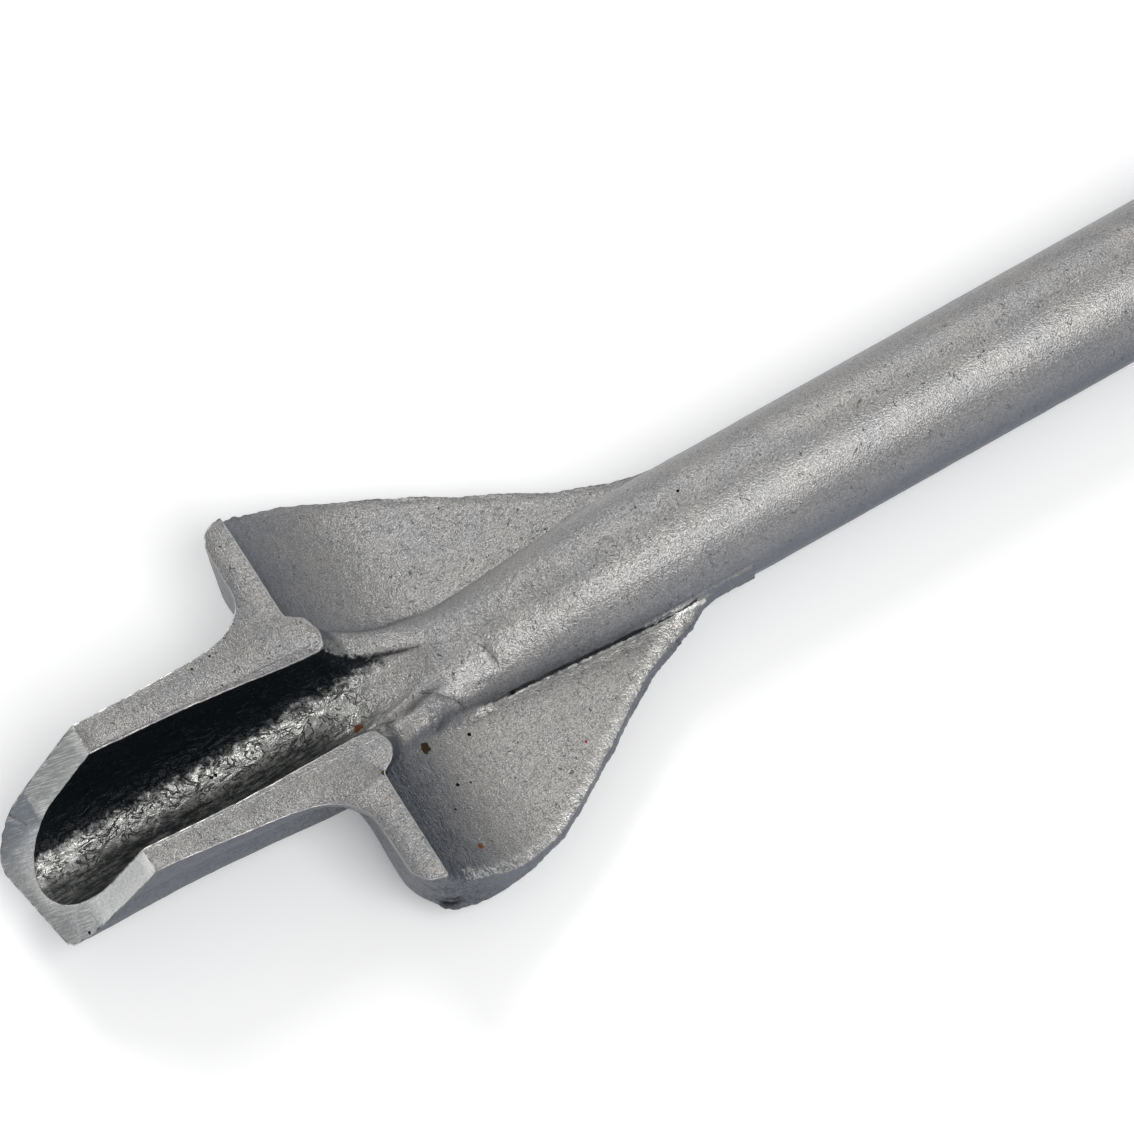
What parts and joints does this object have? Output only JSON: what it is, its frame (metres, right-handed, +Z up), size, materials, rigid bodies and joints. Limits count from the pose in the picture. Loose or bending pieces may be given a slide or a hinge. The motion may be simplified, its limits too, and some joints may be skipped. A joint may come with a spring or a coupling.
{
  "type": "channeling chisel bit",
  "caption": "Winged channeling gouge on a round stem with a slotted tang: a U-shaped open gouge with flat lands and a ground bevel, flanked by curled wings.",
  "frame": {"origin": "centre of the tang's flat striking face, on the axis of the stem", "axes": "+X along the stem towards the cutting edge, +Y across the wings to the left one, +Z up out of the open channel"},
  "size_m": [0.3, 0.0601, 0.0215],
  "materials": {
    "forging": "silver-grey coat over a drop-forged skin, satin",
    "tang": "turned steel under the same thin silver-grey coat"
  },
  "bodies": {
    "root": {"tang": "tang", "stem": "forging", "neck": "forging", "gouge": "forging", "left_wing": "forging", "right_wing": "forging"}
  },
  "joints": []
}
